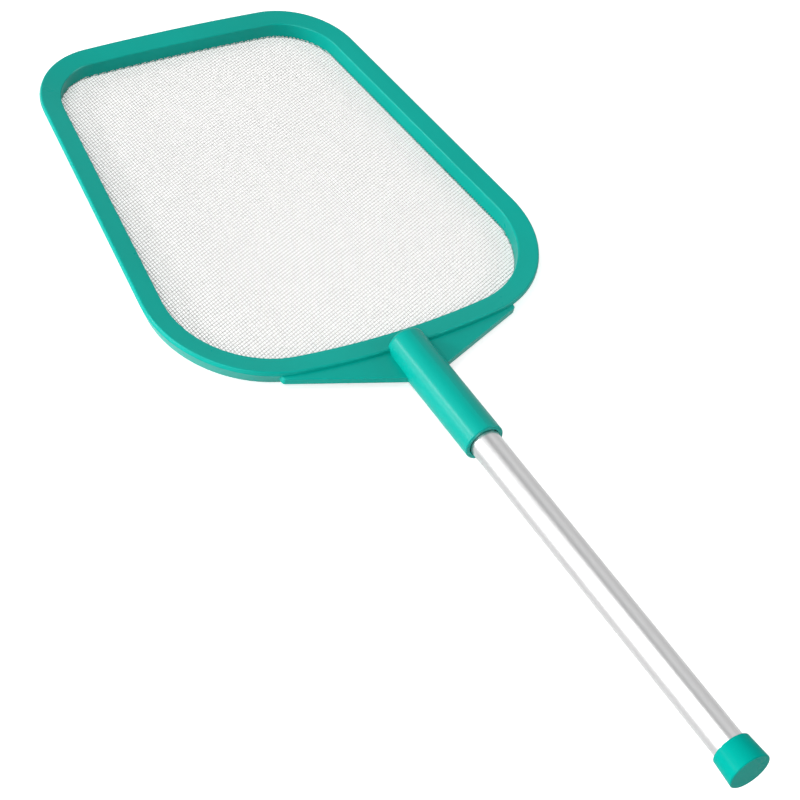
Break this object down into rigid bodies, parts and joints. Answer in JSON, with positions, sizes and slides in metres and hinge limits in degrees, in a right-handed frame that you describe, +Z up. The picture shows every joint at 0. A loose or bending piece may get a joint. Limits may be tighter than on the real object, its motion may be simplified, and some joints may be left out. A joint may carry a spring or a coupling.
{
  "type": "leaf skimmer net",
  "caption": "Flat leaf skimmer: fine net clamped between two moulded rim frames, with a gusseted socket that holds a short aluminium pole with a push-on end cap.",
  "frame": {"origin": "on the surface it lies on, under the middle of its bounding box", "axes": "+Z up out of the open side of the scoop, +Y from the pole's end cap towards the front edge of the head, X across the head"},
  "size_m": [0.302, 0.7254, 0.0468],
  "materials": {
    "frame": "satin",
    "net": "matte",
    "pole": "satin",
    "cap": "satin"
  },
  "bodies": {
    "head": {"upper_frame": "frame", "lower_frame": "frame", "net": "net"},
    "pole": {"pole": "pole"},
    "cap": {"end_cap": "cap"}
  },
  "joints": [
    {"name": "pole_slide", "type": "slide", "parent": "head", "child": "pole", "axis": [0, -0.9986, 0.0537], "range_m": [0, 0.098]},
    {"name": "cap_slide", "type": "slide", "parent": "pole", "child": "cap", "axis": [0, -0.9986, 0.0537], "range_m": [0, 0.016]}
  ]
}
